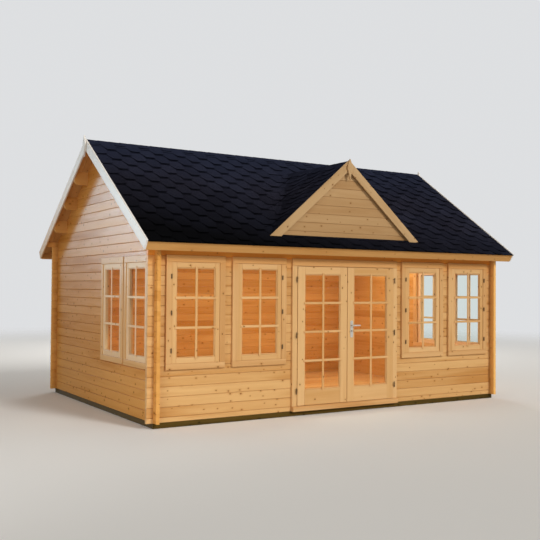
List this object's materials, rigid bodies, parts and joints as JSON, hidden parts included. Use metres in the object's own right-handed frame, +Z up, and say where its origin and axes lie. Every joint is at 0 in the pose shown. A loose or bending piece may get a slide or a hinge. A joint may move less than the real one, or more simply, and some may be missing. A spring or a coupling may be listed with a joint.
{
  "type": "log cabin",
  "caption": "Rectangular log cabin with notched corners, a saddle roof of dark shingles, a closed dormer, glazed double doors and paired casement windows.",
  "frame": {"origin": "on the ground, under the middle of the building", "axes": "+X along the front to the right, +Z up, and the front with the door faces -Y"},
  "size_m": [5.7906, 4.11, 3.552],
  "materials": {
    "log_timber": "planed softwood, oiled",
    "joinery_timber": "planed softwood, oiled",
    "trim_timber": "planed softwood",
    "roof_timber": "planed softwood",
    "floor_timber": "planed softwood",
    "foundation_timber": "rough sawn, treated",
    "shingles": "mineral granules, matt",
    "glass": "clear",
    "hinge_steel": "black",
    "handle_steel": "satin"
  },
  "bodies": {
    "cabin": {"door_frame_hinges": "hinge_steel", "door_head": "joinery_timber", "door_jambs": "joinery_timber", "door_threshold": "joinery_timber", "dormer_barge_boards": "trim_timber", "dormer_finial": "trim_timber", "dormer_gable": "trim_timber", "dormer_roof_boards": "roof_timber", "dormer_roof_shingles": "shingles", "floor_boards": "floor_timber", "foundation_beams": "foundation_timber", "front_eaves_board": "trim_timber", "front_left_window_frames": "joinery_timber", "front_left_window_glass": "glass", "front_left_window_sashes": "joinery_timber", "front_right_window_frames": "joinery_timber", "front_right_window_glass": "glass", "front_right_window_sashes": "joinery_timber", "front_roof_boards": "roof_timber", "front_roof_shingles": "shingles", "front_wall_head": "log_timber", "front_wall_left": "log_timber", "front_wall_right": "log_timber", "left_barge_boards": "trim_timber", "left_finial": "trim_timber", "left_wall": "log_timber", "left_window_frames": "joinery_timber", "left_window_glass": "glass", "left_window_sashes": "joinery_timber", "purlins": "log_timber", "rear_eaves_board": "trim_timber", "rear_roof_boards": "roof_timber", "rear_roof_shingles": "shingles", "rear_wall": "log_timber", "ridge_cap": "shingles", "right_barge_boards": "trim_timber", "right_finial": "trim_timber", "right_wall": "log_timber", "right_window_frames": "joinery_timber", "right_window_glass": "glass", "right_window_sashes": "joinery_timber"},
    "left_door": {"left_door_leaf": "joinery_timber", "left_door_glass": "glass", "left_door_hinges": "hinge_steel"},
    "right_door": {"right_door_leaf": "joinery_timber", "right_door_glass": "glass", "right_door_hinges": "hinge_steel", "lock_plates": "handle_steel"},
    "door_lever": {"door_handle": "handle_steel"}
  },
  "joints": [
    {"name": "left_door_swing", "type": "hinge", "parent": "cabin", "child": "left_door", "pos_m": [-0.786, -1.857, 0.127], "axis": [0, 0, -1], "range_deg": [0, 160]},
    {"name": "right_door_swing", "type": "hinge", "parent": "cabin", "child": "right_door", "pos_m": [0.786, -1.857, 0.127], "axis": [0, 0, 1], "range_deg": [0, 160]},
    {"name": "door_lever_turn", "type": "hinge", "parent": "right_door", "child": "door_lever", "pos_m": [0.0685, -1.826, 1.107], "axis": [0, 1, 0], "range_deg": [0, 40], "stiffness_Nm_per_rad": 1, "springref_deg": -40.11}
  ]
}
